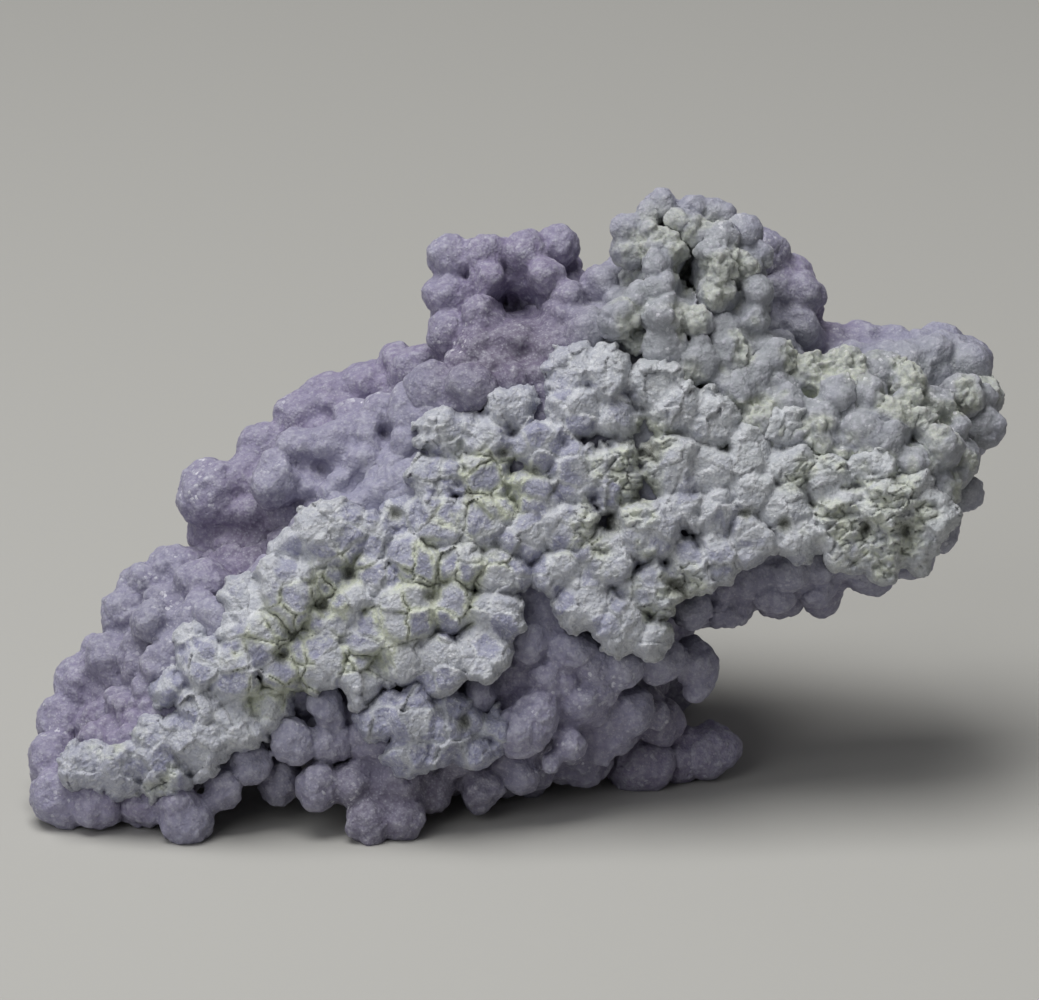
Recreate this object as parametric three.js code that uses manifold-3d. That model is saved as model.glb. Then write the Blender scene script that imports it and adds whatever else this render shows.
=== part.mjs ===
// Botryoidal chalcedony, the violet "grape" habit, as one solid: a broken, pale crust plate that
// leans back from the viewer, with bunches of round beads behind it, above it and under its edge.
// Millimetres, +Z up. The origin is on the resting plane, under the middle of the stone.

import * as THREE from 'three';
import { mergeVertices } from 'three/addons/utils/BufferGeometryUtils.js';
import Module from 'manifold-3d';

const wasm = await Module();
wasm.setup();

// The plate's own frame: across to the right, up along the plate, deep into the stone.
const PLATE_LEAN = THREE.MathUtils.degToRad(20);
const STONE_MIDDLE_ACROSS = -0.3;
const STONE_MIDDLE_BACK = 25.3;
const BROKEN_FACE_DEEP = 0.8; // the inner masses end here, where the stone broke off its bed

const COBBLE_FLATNESS = 0.5; // thickness of a crust lump, as a share of its width
const BUNCH_SINK = 0.45; // share of a bunch's radius that is sunk in its mass
const BURIED = 0.72; // a bunch nearer than this share to another mass's middle is left out
const FRONT_OF_BUNCHES = 8; // bunches start this deep, because the broken face is in front of them
const FOOT_WEAR = 0.5; // the beads that the stone rests on are worn flat by this much
const GOLDEN_ANGLE = Math.PI * (3 - Math.sqrt(5));
const WELD = 1e-3; // vertices closer than this are one
const CUT_SIZE = 140; // side of the blocks that trim the broken face and the feet

// Inner masses that the beads grow on: [across, up, deep, half width, half height, half depth, turn in degrees].
const MASSES = {
  plate: [-2, 29, 12, 26, 12, 17, 22],
  lowerLeft: [-27, 15.5, 10.5, 15, 6.5, 10, 33],
  rightWing: [26, 35.5, 10.5, 15, 7.5, 10, 12],
  crown: [6, 43, 12.5, 13, 8, 10, 0],
  belly: [-6, 13, 13, 17, 7, 9.5, 0],
  rear: [-2, 33, 24, 24, 12.5, 12.5, 15],
  rearFoot: [0, 20.2, 28, 15, 7.5, 10, 0],
  leftRear: [-30, 18.5, 15.5, 12, 7, 8, 42],
  leftShoulder: [-22, 33, 16.5, 8.5, 4.5, 6.5, 35],
  upperShoulder: [-12.5, 39, 17.5, 9, 4.5, 7, 30],
  wingRear: [31, 39.5, 17, 12, 6, 7, 8],
  wingUnder: [24, 27, 12, 12, 3.5, 6, 12],
  violetHead: [-0.5, 51.5, 14.5, 6.5, 4.5, 4.5, 0],
  tower: [16, 52, 11, 6, 7.5, 4.8, -8],
  towerRear: [24, 50.5, 17.5, 4, 6, 5, 15],
  neck: [20, 45, 11.5, 6, 4.5, 5.5, 0],
  farRidge: [36, 45, 17, 8, 2.8, 5, 0],
};

// Single beads and small lumps by place: [across, up, deep, radius].
const BEADS = {
  leftTip: [
    [-42.4, 5, 6.6, 3.2], [-43.2, 9, 10, 3], [-41.4, 13.6, 13, 3], [-37.8, 12.6, 9.5, 3.3],
    [-38, 18, 11.5, 2.9], [-35.8, 22.8, 13.2, 2.9], [-32.4, 24.8, 13, 2.9],
  ],
  paleLeft: [[-29.3, 24.6, 8.2, 2.8], [-33.6, 20.2, 6, 2.8], [-30.6, 19.8, 4.4, 2.7], [-33, 15.6, 2.6, 2.4]],
  leftShoulder: [
    [-28.6, 33, 14, 3.1], [-24.8, 34.8, 14, 3.1], [-22.6, 34.2, 8.8, 2.7], [-19, 36, 9.2, 2.9],
    [-21.2, 38.6, 15.5, 3.2], [-14.6, 37.4, 8, 3.5], [-16.2, 42, 15.8, 3.5], [-9.9, 43.2, 11.6, 3.3],
  ],
  violetHead: [
    [-6, 55, 11.5, 2.1], [-6.4, 51.4, 11, 2.5], [-2.6, 55, 11.3, 2.5], [2, 56.2, 11.7, 2.6],
    [4.4, 56, 12.5, 2.3], [2.8, 52.4, 9.4, 2.4], [7.8, 53.2, 10.6, 2.6], [4.8, 49, 8, 2.8],
    [-5.2, 48, 8.6, 2.9], [-0.6, 47, 6.6, 3.2], [-3.4, 43.4, 4.2, 3.1],
  ],
  towerBeads: [
    [13.2, 60.2, 8, 1.8], [17, 59.7, 8.5, 2.1], [10.8, 57.6, 7, 2.5], [13.6, 55.6, 5.4, 2.3],
    [13.2, 52.2, 3.6, 2.3], [9.9, 49.6, 3.8, 2.2], [13.6, 48.6, 2.6, 2.6], [17.2, 56.6, 6.6, 2.5],
    [18.5, 52.6, 5, 2.6], [21.2, 56.6, 8.4, 2.3], [21.8, 51.6, 6.6, 2.4], [18.6, 47.4, 5, 2.9],
  ],
  towerRear: [
    [22.6, 55.6, 16, 2.9], [25, 52, 17, 2.9], [26.2, 48, 16.8, 2.8], [31.4, 47, 18.6, 2.7],
    [36.4, 47, 19, 2.5], [41, 46.2, 19.2, 2.7],
  ],
  wing: [
    [23.4, 45, 5.2, 2.6], [29.2, 44.4, 6.4, 2.8], [35.4, 43, 6.6, 2.7], [35.4, 39.4, 4, 2.4],
    [39.4, 37.4, 4.4, 2.4], [39, 33.4, 4.8, 2.6], [41.6, 42.4, 11, 2.8], [43.4, 40.6, 12.8, 2.5],
  ],
  wingUnder: [
    [16, 23.2, 7, 2.3], [20, 23.6, 10, 2.8], [24.8, 24.6, 11.6, 2.8], [30.6, 25.8, 12.6, 2.9],
    [36.8, 28.4, 11, 3], [41, 33.4, 10, 2.4],
  ],
  belly: [
    [3.6, 15.8, 5.6, 3.2], [5.2, 11.8, 5.4, 3], [1.4, 7.8, 6, 2.4], [-3.8, 6.6, 6.8, 2.5],
    [10.2, 12.8, 8.2, 2.9], [13, 17, 9, 3.3], [16.8, 16.6, 10.4, 2.6],
  ],
  hanging: [
    [-18.6, 6.4, 3.8, 2.7], [-13.8, 7, 4.8, 3.2], [-8.6, 6, 6, 2.6], [-22.6, 7.4, 6, 2.5],
    [-30.2, 6.2, 3.2, 2.6], [-36.4, 5.2, 5.6, 2.9],
  ],
  feet: [
    [-12.6, 2.6, 3.8, 2.4], [-30.8, 2.7, 3.6, 2.4], [17.2, 9, 17.4, 3], [11.6, 7, 16, 3.4],
    [-13, 16.5, 34, 4.6], [13, 16.5, 34, 4.6], [0, 17.5, 37, 4.6],
  ],
};

// Crust lumps on the broken face, flattened along the depth: [across, up, deep, radius].
const COBBLES = {
  lowerStrip: [[-38.4, 8, 2.8, 3.2], [-32.8, 9.2, 1.6, 3.6], [-27.6, 13.4, 1.1, 3.6]],
  leftField: [
    [-24.6, 19.4, 0.6, 3.8], [-20.6, 25, 0.7, 3.9], [-17.6, 18.8, 0.8, 3.8], [-16.6, 31, 1.4, 3.6],
    [-13.6, 24.8, 0.8, 3.9], [-10.8, 18.2, 0.4, 3.7],
  ],
  middleField: [
    [-4.6, 19.6, 0, 3.9], [-6.8, 26.2, 0.2, 3.9], [-8, 33.6, 1, 3.9], [-0.6, 26.4, 0.1, 3.8],
    [-1.6, 34.6, 0.9, 3.9], [-1.6, 40.2, 1.9, 3.4],
  ],
  rightField: [
    [5.6, 43.6, 2.1, 3.8], [12.2, 42.4, 1.8, 3.8], [5.4, 36.2, 0.8, 3.9], [5.2, 29.8, 0, 3.8],
    [12.8, 34.2, 0.4, 4], [8.6, 22.8, -0.3, 3.9], [13, 27.4, 0, 3.6],
  ],
  wingField: [
    [18.8, 37.6, 1.5, 3.7], [19.4, 30.6, 0.8, 3.6], [25.4, 35.6, 1.8, 3.6], [26, 29.8, 1.3, 3.3],
    [32.4, 30.6, 1.3, 4], [37.4, 31.4, 2.4, 3], [31.4, 37.4, 2, 3.4],
  ],
  lowerLip: [[-10, 12.8, 0.9, 3.5], [-4.6, 11.4, 1.3, 3.4], [0.2, 11, 2.4, 2.8]],
};

// Bunches that cover the back, top and underside: [mass, how many, radius, first bunch's turn in degrees].
const BUNCHES = [
  ['rear', 18, 6.2, 0], ['belly', 6, 4.8, 90], ['rearFoot', 7, 5, 20], ['leftRear', 8, 4.8, 65],
  ['wingRear', 8, 4.6, 10], ['crown', 6, 5, 130], ['upperShoulder', 5, 4.2, 75], ['lowerLeft', 6, 4.2, 0],
  ['rightWing', 6, 4.4, 50], ['farRidge', 4, 3, 0], ['violetHead', 3, 3.2, 30], ['tower', 3, 3.2, 60],
];

// Facets lie inside the round form, so each faceted ball is swollen to the mean size of the round one.
const LARGE_MASS = 12.5;
const BALLS = {
  large: { geometry: new THREE.IcosahedronGeometry(1, 1), swell: 1.05 },
  small: { geometry: new THREE.IcosahedronGeometry(1, 0), swell: 1.15 },
};

const plateFrame = new THREE.Matrix4()
  .makeTranslation(-STONE_MIDDLE_ACROSS, -STONE_MIDDLE_BACK, 0)
  .multiply(new THREE.Matrix4().makeRotationX(-PLATE_LEAN));
const platePose = new THREE.Quaternion().setFromRotationMatrix(plateFrame);

// Where a place on the plate is in the stone's own frame.
function placeOf(across, up, deep) {
  return new THREE.Vector3(across, deep, up).applyMatrix4(plateFrame);
}

// A closed solid from a geometry, placed by a matrix.
function solidFrom(geometry, matrix) {
  const bare = geometry.clone().applyMatrix4(matrix);
  bare.deleteAttribute('normal');
  bare.deleteAttribute('uv');
  const merged = mergeVertices(bare, WELD);
  return new wasm.Manifold(new wasm.Mesh({
    numProp: 3,
    vertProperties: new Float32Array(merged.attributes.position.array),
    triVerts: new Uint32Array(merged.index.array),
  }));
}

// The pose of an inner mass: an ellipsoid turned in the plane of the plate.
function massMatrix([across, up, deep, halfWidth, halfHeight, halfDepth, turn]) {
  const inPlane = new THREE.Quaternion()
    .setFromAxisAngle(new THREE.Vector3(0, 1, 0), -THREE.MathUtils.degToRad(turn));
  const size = new THREE.Vector3(halfWidth, halfDepth, halfHeight);
  return new THREE.Matrix4().compose(placeOf(across, up, deep), platePose.clone().multiply(inPlane), size);
}

function massSolid(mass) {
  const halfWidth = mass[3];
  const { geometry, swell } = halfWidth > LARGE_MASS ? BALLS.large : BALLS.small;
  return solidFrom(geometry, massMatrix(mass).scale(new THREE.Vector3(swell, swell, swell)));
}

// A turn that differs from bead to bead, so that their facets don't line up.
function beadTurn(place) {
  const spin = GOLDEN_ANGLE * (place.x + 2 * place.y + 3 * place.z);
  return new THREE.Quaternion().setFromEuler(new THREE.Euler(spin, 2 * spin, 3 * spin));
}

// A round bead, raised until it only touches the ground with its worn foot.
function ballSolid(place, radius) {
  const { geometry, swell } = BALLS.small;
  const standing = place.clone().setZ(Math.max(place.z, radius - FOOT_WEAR));
  const size = new THREE.Vector3(radius, radius, radius).multiplyScalar(swell);
  return solidFrom(geometry, new THREE.Matrix4().compose(standing, beadTurn(place), size));
}

function beadSolid([across, up, deep, radius]) {
  return ballSolid(placeOf(across, up, deep), radius);
}

// A crust lump: a ball flattened along the plate's depth.
function cobbleSolid([across, up, deep, radius]) {
  const { geometry, swell } = BALLS.small;
  const size = new THREE.Vector3(radius, radius * COBBLE_FLATNESS, radius).multiplyScalar(swell);
  const flat = new THREE.Matrix4().compose(placeOf(across, up, deep), platePose, size);
  const turned = new THREE.Matrix4().makeRotationFromQuaternion(beadTurn(new THREE.Vector3(across, up, deep)));
  return solidFrom(geometry, flat.multiply(turned));
}

// Bunches on a mass, spread by the golden angle, without those that face forward or are buried.
function bunchSolids([massName, count, radius, turn]) {
  const [across, up, deep, halfWidth, halfHeight, halfDepth, massTurn] = MASSES[massName];
  const sunk = BUNCH_SINK * radius;
  const own = massMatrix([across, up, deep, halfWidth - sunk, halfHeight - sunk, halfDepth - sunk, massTurn]);
  const others = Object.keys(MASSES)
    .filter((name) => name !== massName)
    .map((name) => massMatrix(MASSES[name]).invert());
  const intoPlate = plateFrame.clone().invert();
  const solids = [];
  for (let i = 0; i < count; i++) {
    const height = 1 - (2 * i + 1) / count;
    const ring = Math.sqrt(1 - height * height);
    const angle = i * GOLDEN_ANGLE + THREE.MathUtils.degToRad(turn);
    const place = new THREE.Vector3(ring * Math.cos(angle), ring * Math.sin(angle), height).applyMatrix4(own);
    const facesForward = place.clone().applyMatrix4(intoPlate).y < FRONT_OF_BUNCHES;
    const buried = others.some((inverse) => place.clone().applyMatrix4(inverse).length() < BURIED);
    if (!facesForward && !buried) solids.push(ballSolid(place, radius));
  }
  return solids;
}

// A block whose face is the plane through a point, with the block on the far side of it from the stone.
function trimBlock(point, outward) {
  const turn = new THREE.Quaternion().setFromUnitVectors(new THREE.Vector3(0, 0, 1), outward);
  const middle = point.clone().addScaledVector(outward, CUT_SIZE / 2);
  const size = new THREE.Vector3(CUT_SIZE, CUT_SIZE, CUT_SIZE);
  return solidFrom(new THREE.BoxGeometry(1, 1, 1), new THREE.Matrix4().compose(middle, turn, size));
}

// The outer skin of a mesh: its largest connected shell, so that hollows closed in between beads are solid.
function outerSkin(triVerts, numVert) {
  const parent = Uint32Array.from({ length: numVert }, (_, i) => i);
  const rootOf = (i) => {
    while (parent[i] !== i) i = parent[i] = parent[parent[i]];
    return i;
  };
  for (let i = 0; i < triVerts.length; i += 3) {
    parent[rootOf(triVerts[i + 1])] = rootOf(triVerts[i]);
    parent[rootOf(triVerts[i + 2])] = rootOf(triVerts[i]);
  }
  const shells = new Map();
  for (let i = 0; i < triVerts.length; i += 3) {
    const shell = rootOf(triVerts[i]);
    if (!shells.has(shell)) shells.set(shell, []);
    shells.get(shell).push(triVerts[i], triVerts[i + 1], triVerts[i + 2]);
  }
  return [...shells.values()].reduce((largest, shell) => (shell.length > largest.length ? shell : largest));
}

function stoneGeometry() {
  const forward = new THREE.Vector3(0, -1, 0).applyQuaternion(platePose);
  const inFront = trimBlock(placeOf(0, 0, BROKEN_FACE_DEEP), forward);
  const underneath = trimBlock(new THREE.Vector3(), new THREE.Vector3(0, 0, -1));
  const masses = wasm.Manifold.union(Object.values(MASSES).map(massSolid)).subtract(inFront);
  const grown = wasm.Manifold.union([
    masses,
    ...Object.values(BEADS).flat().map(beadSolid),
    ...Object.values(COBBLES).flat().map(cobbleSolid),
    ...BUNCHES.flatMap(bunchSolids),
  ]).subtract(underneath);
  const { numVert, vertProperties, triVerts } = grown.getMesh();
  const skin = new THREE.BufferGeometry()
    .setAttribute('position', new THREE.BufferAttribute(vertProperties, 3))
    .setIndex(outerSkin(triVerts, numVert));
  return mergeVertices(skin.toNonIndexed(), WELD / 10);
}

const chalcedonyMaterial = new THREE.MeshStandardMaterial({ color: 0x9a93a6, roughness: 0.6, metalness: 0 });
const chalcedony = new THREE.Mesh(stoneGeometry(), chalcedonyMaterial);
chalcedony.name = 'chalcedony';

const stone = new THREE.Group();
stone.add(chalcedony);

export default stone;
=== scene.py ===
# Grape-habit chalcedony: the looks of the stone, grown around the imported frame.
# Shapes are worked out in millimetres in the broken plate's own frame (across, up, deep), where deep runs
# away from the viewer, and are placed in metres in the stone's frame at the end.

import math

import bmesh
import bpy
import numpy as np
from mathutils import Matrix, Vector


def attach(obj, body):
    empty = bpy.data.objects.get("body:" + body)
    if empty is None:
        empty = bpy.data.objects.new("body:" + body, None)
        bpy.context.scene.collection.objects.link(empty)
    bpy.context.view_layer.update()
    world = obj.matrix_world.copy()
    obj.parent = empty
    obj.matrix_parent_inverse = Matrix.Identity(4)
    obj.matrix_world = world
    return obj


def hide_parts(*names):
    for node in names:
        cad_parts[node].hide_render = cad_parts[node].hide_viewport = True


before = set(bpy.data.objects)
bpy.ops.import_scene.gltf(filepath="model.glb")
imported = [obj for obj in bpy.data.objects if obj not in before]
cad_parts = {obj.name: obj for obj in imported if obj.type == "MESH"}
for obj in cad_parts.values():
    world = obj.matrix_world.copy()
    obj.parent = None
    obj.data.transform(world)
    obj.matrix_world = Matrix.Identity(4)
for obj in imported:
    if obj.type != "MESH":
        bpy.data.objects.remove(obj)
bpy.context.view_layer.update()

mm = 0.001
goldenAngle = math.pi * (3 - math.sqrt(5))
coarser = 1.0  # larger cells while trying things out

plate = {
    "lean": math.radians(20),  # the broken face leans back by this much
    "middleAcross": -0.3,  # the stone's middle in the plate's frame
    "middleBack": 25.3,
    "massFront": 2.6,  # the inner masses end this deep, behind the crust's face
    "footWear": 0.5,  # beads that touch the ground are worn flat by this much
}

# Inner masses that the beads grow on: across, up, deep, half width, height and depth, turn in degrees.
masses = {
    "plate": (-2, 29, 12, 26, 12, 17, 22),
    "lowerLeft": (-27, 15.5, 10.5, 15, 6.5, 10, 33),
    "rightWing": (26, 35.5, 10.5, 15, 7.5, 10, 12),
    "crown": (6, 43, 12.5, 13, 8, 10, 0),
    "belly": (-6, 13, 13, 17, 7, 9.5, 0),
    "rear": (-2, 33, 24, 24, 12.5, 12.5, 15),
    "rearFoot": (0, 20.2, 28, 15, 7.5, 10, 0),
    "leftRear": (-30, 18.5, 15.5, 12, 7, 8, 42),
    "leftShoulder": (-22, 33, 16.5, 8.5, 4.5, 6.5, 35),
    "upperShoulder": (-12.5, 39, 17.5, 9, 4.5, 7, 30),
    "wingRear": (31, 39.5, 17, 12, 6, 7, 8),
    "wingUnder": (24, 27, 12, 12, 3.5, 6, 12),
    "violetHead": (-0.5, 51.5, 14.5, 6.5, 4.5, 4.5, 0),
    "tower": (16, 52, 11, 6, 7.5, 4.8, -8),
    "towerRear": (24, 50.5, 17.5, 4, 6, 5, 15),
    "neck": (20, 45, 11.5, 6, 4.5, 5.5, 0),
    "farRidge": (36, 45, 17, 8, 2.8, 5, 0),
}

leanCos, leanSin = math.cos(plate["lean"]), math.sin(plate["lean"])


# Plate frame to stone frame: turned by the lean about the across axis, then moved to the stone's middle.
def toStone(local):
    across, up, deep = local[:, 0], local[:, 1], local[:, 2]
    x = across - plate["middleAcross"]
    y = up * leanSin + deep * leanCos - plate["middleBack"]
    z = np.maximum(up * leanCos - deep * leanSin, 0)
    return np.stack([x, y, z], 1) * mm


# Beads that would go through the ground are lifted until only their worn foot touches it.
def liftToGround(centres, radii):
    height = centres[:, 1] * leanCos - centres[:, 2] * leanSin
    lift = np.maximum(radii - plate["footWear"] - height, 0)
    return centres + lift[:, None] * np.array([0, leanCos, -leanSin])


# A number from 0 to 1 for each whole cell (i, j, k): its indices times large odd numbers, bits mixed.
def cellNumber(i, j, k, seed):
    mixed = (i * 0x8DA6B343) ^ (j * 0xD8163841) ^ (k * 0xCB1AB31F) ^ (seed * 0x9E3779B1)
    h = (mixed & 0xFFFFFFFF).astype(np.uint32)
    h ^= h >> np.uint32(15)
    h *= np.uint32(0x2C1B3C6D)
    h ^= h >> np.uint32(12)
    h *= np.uint32(0x297A2D39)
    h ^= h >> np.uint32(15)
    return h.astype(np.float64) / 2**32


# Soft noise from -1 to 1: the numbers at a cell's eight corners, blended by 3t^2 - 2t^3 along each axis.
def softNoise(points, size, seed):
    scaled = points / size
    low = np.floor(scaled).astype(np.int64)
    t = scaled - low
    t = t * t * (3 - 2 * t)
    total = np.zeros(len(points))
    for corner in range(8):
        step = np.array([corner & 1, corner >> 1 & 1, corner >> 2 & 1])
        weight = np.prod(np.where(step, t, 1 - t), axis=1)
        total += weight * cellNumber(*(low + step).T, seed)
    return total * 2 - 1


# Rough noise: soft noise at a size, plus half of it at half the size, and so on.
def roughNoise(points, size, seed, layers):
    return sum(softNoise(points, size / 2**n, seed + n) / 2**n for n in range(layers))


# Grain: one scattered point in each cell, and from each place the distances to the two nearest, in cells.
def grainNoise(points, size, seed):
    scaled = points / size
    low = np.floor(scaled).astype(np.int64)
    nearest = np.full(len(points), 9.0)
    second = nearest.copy()
    for n in range(27):
        cell = low + np.array([n % 3, n // 3 % 3, n // 9]) - 1
        spot = cell + np.stack([cellNumber(*cell.T, seed + axis) for axis in range(3)], 1)
        away = np.linalg.norm(scaled - spot, axis=1)
        second = np.minimum(second, np.maximum(nearest, away))
        nearest = np.minimum(nearest, away)
    return nearest, second


# Flat chips over (across, up): the nearest scattered point's offset and number, and the way to the border.
def chipNoise(flat, size, seed):
    scaled = flat / size
    low = np.floor(scaled).astype(np.int64)
    nearest = np.full(len(flat), 9.0)
    second = nearest.copy()
    offset = np.zeros_like(scaled)
    number = np.zeros(len(flat))
    for n in range(9):
        cell = low + np.array([n % 3, n // 3]) - 1
        i, j = cell.T
        spot = cell + np.stack([cellNumber(i, j, 0 * i, seed), cellNumber(i, j, 0 * i + 1, seed)], 1)
        away = np.linalg.norm(scaled - spot, axis=1)
        closer = away < nearest
        second = np.minimum(second, np.maximum(nearest, away))
        offset = np.where(closer[:, None], scaled - spot, offset)
        number = np.where(closer, cellNumber(i, j, 0 * i + 2, seed), number)
        nearest = np.minimum(nearest, away)
    return offset * size, number, (second - nearest) * size


def smoothStep(low, high, value):
    t = np.clip((value - low) / (high - low), 0, 1)
    return t * t * (3 - 2 * t)


# A unit ball on a grid of two angles: (cos v cos u, sin v, cos v sin u), closed at both poles.
def unitBall(rows, columns):
    v = np.linspace(-math.pi / 2, math.pi / 2, rows + 2)[1:-1, None]
    u = np.linspace(0, 2 * math.pi, columns, endpoint=False)[None, :]
    grid = np.stack([np.cos(v) * np.cos(u), np.sin(v) + 0 * u, np.cos(v) * np.sin(u)], -1).reshape(-1, 3)
    points = np.vstack([grid, [[0, -1, 0], [0, 1, 0]]])
    i = np.arange(rows - 1)[:, None] * columns
    j = np.arange(columns)[None, :]
    a, b = i + j, i + (j + 1) % columns
    sides = np.vstack([np.stack([a, a + columns, b], -1).reshape(-1, 3),
                       np.stack([b, a + columns, b + columns], -1).reshape(-1, 3)])
    rim = np.arange(columns)
    after = (rim + 1) % columns
    top = (rows - 1) * columns
    bottomCap = np.stack([rim, after, np.full(columns, len(grid))], 1)
    topCap = np.stack([top + after, top + rim, np.full(columns, len(grid) + 1)], 1)
    return points, np.vstack([sides, bottomCap, topCap])


# Balls at many places: centre + radius * unit ball, stretched a little along each axis, swollen by noise.
def ballSurfaces(centres, radii, uneven, seed):
    unit, faces = unitBall(rows=15, columns=24)
    stretch = 1 + uneven * np.random.default_rng(seed).uniform(-1, 1, (len(radii), 3))
    offsets = unit[None] * (radii[:, None] * stretch)[:, None, :]
    points = (centres[:, None, :] + offsets).reshape(-1, 3)
    swell = 1 + 0.9 * uneven * softNoise(points, 2.1, 5)
    points = (centres[:, None, :] + offsets * swell.reshape(len(radii), -1, 1)).reshape(-1, 3)
    starts = np.arange(len(radii))[:, None, None] * len(unit)
    return points, (faces[None] + starts).reshape(-1, 3)


# Turns (across, up, deep) offsets by an angle in the plane of the plate.
def turnInPlate(offsets, degrees):
    c, s = math.cos(math.radians(degrees)), math.sin(math.radians(degrees))
    across, up, deep = offsets.T
    return np.stack([across * c - up * s, across * s + up * c, deep], 1)


# An inner mass: its unit ball times its half sizes, turned in the plate, cut off behind the broken face.
def massSurface(name):
    across, up, deep, halfWidth, halfHeight, halfDepth, turn = masses[name]
    unit, faces = unitBall(rows=30, columns=48)
    points = turnInPlate(unit * np.array([halfWidth, halfHeight, halfDepth]), turn) + (across, up, deep)
    points[:, 2] = np.maximum(points[:, 2], plate["massFront"])
    return points, faces


# How far places are from a mass's middle, as a share of the mass: under 1 is inside.
def insideMass(points, name):
    across, up, deep, halfWidth, halfHeight, halfDepth, turn = masses[name]
    offsets = turnInPlate(points - (across, up, deep), -turn)
    return np.linalg.norm(offsets / np.array([halfWidth, halfHeight, halfDepth]), axis=1)


# Directions spread evenly over a ball: equal steps in height, each turned on by the golden angle.
def spread(count, turn):
    i = np.arange(count)
    height = 1 - (2 * i + 1) / count
    ring = np.sqrt(1 - height * height)
    angle = i * goldenAngle + math.radians(turn)
    return np.stack([ring * np.cos(angle), height, ring * np.sin(angle)], 1)


# Places on a mass that is shrunk by a depth: its middle + spread directions times its half sizes, turned.
def placesOnMass(name, count, sunk, turn):
    across, up, deep, halfWidth, halfHeight, halfDepth, massTurn = masses[name]
    half = np.array([halfWidth, halfHeight, halfDepth]) - sunk
    return turnInPlate(spread(count, turn) * half, massTurn) + (across, up, deep)


growth = {
    "bunchSink": 0.45,  # share of a bunch's radius that is sunk in its mass
    "buried": 0.72,  # a bunch nearer than this share to another mass's middle is left out
    "frontOfBunches": 8,  # bunches start this deep
    "beadRadius": 1.8,  # of the beads that cover bunches and masses
    "beadSpread": 0.3,  # beads are larger or smaller by up to this share
    "packing": 4.6,  # beads on a bunch, per square of its radius over theirs
    "coverPacking": 0.72,  # beads on a mass, as a share of what would touch each other
    "hiddenInMass": 0.93,  # a piece is buried inside this share of another piece's mass
    "hiddenInCrust": 1.0,  # and behind the crust, this far inside its rim
    "hiddenShare": 0.05,  # triangles kept where a piece is buried inside the stone
}


# The middles of a mass's bunches, without those that face forward or are buried.
def bunchMiddles(name, count, radius, turn):
    centres = placesOnMass(name, count, growth["bunchSink"] * radius, turn)
    keep = centres[:, 2] >= growth["frontOfBunches"]
    for other in masses:
        if other != name:
            keep &= insideMass(centres, other) >= growth["buried"]
    centres = centres[keep]
    return liftToGround(centres, np.full(len(centres), radius))


# Beads over a bunch: spread directions times the bunch's radius less most of a bead's, at uneven heights.
def beadsOnBunch(centre, radius, seed):
    bead = growth["beadRadius"]
    reach = radius - 0.8 * bead
    count = int(growth["packing"] * (reach / bead) ** 2) + 4
    random = np.random.default_rng(seed)
    radii = bead * (1 + growth["beadSpread"] * random.uniform(-1, 1, count))
    directions = spread(count, random.uniform(0, 360)) + random.normal(0, 0.09, (count, 3))
    directions /= np.linalg.norm(directions, axis=1)[:, None]
    return centre + directions * (radius - radii * random.uniform(0.85, 1.05, count))[:, None], radii


# Beads over a mass: as many as its surface holds, partly sunk, where nothing else covers them.
def beadsOnMass(name, bead, seed, front):
    halfWidth, halfHeight, halfDepth = masses[name][3:6]
    area = 4 * math.pi * ((halfWidth * halfHeight) ** 1.6 / 3 + (halfWidth * halfDepth) ** 1.6 / 3
                          + (halfHeight * halfDepth) ** 1.6 / 3) ** (1 / 1.6)
    count = int(growth["coverPacking"] * area / (bead * bead * 2.6))
    random = np.random.default_rng(seed)
    centres = placesOnMass(name, count, 0.35 * bead, random.uniform(0, 360))
    centres = centres + random.normal(0, 0.35, (count, 3))
    radii = bead * (1 + growth["beadSpread"] * random.uniform(-1, 1, count))
    keep = centres[:, 2] > front
    for other in masses:
        if other != name:
            keep &= insideMass(centres, other) >= 0.9
    return centres[keep], radii[keep]


# A mesh from arrays of places and faces, all faces with the same number of corners.
def meshFrom(name, points, faces):
    mesh = bpy.data.meshes.new(name)
    corners = faces.shape[1]
    mesh.vertices.add(len(points))
    mesh.vertices.foreach_set("co", np.ascontiguousarray(points, np.float32).ravel())
    mesh.loops.add(faces.size)
    mesh.loops.foreach_set("vertex_index", np.ascontiguousarray(faces, np.int32).ravel())
    mesh.polygons.add(len(faces))
    mesh.polygons.foreach_set("loop_start", np.arange(0, faces.size, corners, dtype=np.int32))
    mesh.update(calc_edges=True)
    return mesh


# What a mesh becomes when its modifiers are applied, as arrays of places and faces.
def applied(rough, corners):
    made = rough.evaluated_get(bpy.context.evaluated_depsgraph_get()).to_mesh()
    points = np.empty(len(made.vertices) * 3, np.float32)
    made.vertices.foreach_get("co", points)
    faces = np.empty(len(made.loops), np.int32)
    made.loops.foreach_get("vertex_index", faces)
    rough.to_mesh_clear()
    bpy.data.objects.remove(rough)
    return points.reshape(-1, 3).astype(np.float64), faces.reshape(-1, corners)


# Fuses overlapping closed surfaces into one skin of square cells, and eases it.
def fuse(name, points, faces, cell, easing):
    rough = bpy.data.objects.new(name + "Rough", meshFrom(name + "Rough", points, faces))
    bpy.context.scene.collection.objects.link(rough)
    remesh = rough.modifiers.new("skin", "REMESH")
    remesh.mode = "VOXEL"
    remesh.voxel_size = cell
    ease = rough.modifiers.new("ease", "SMOOTH")
    ease.factor, ease.iterations = 0.5, easing
    return applied(rough, 4)


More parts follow.
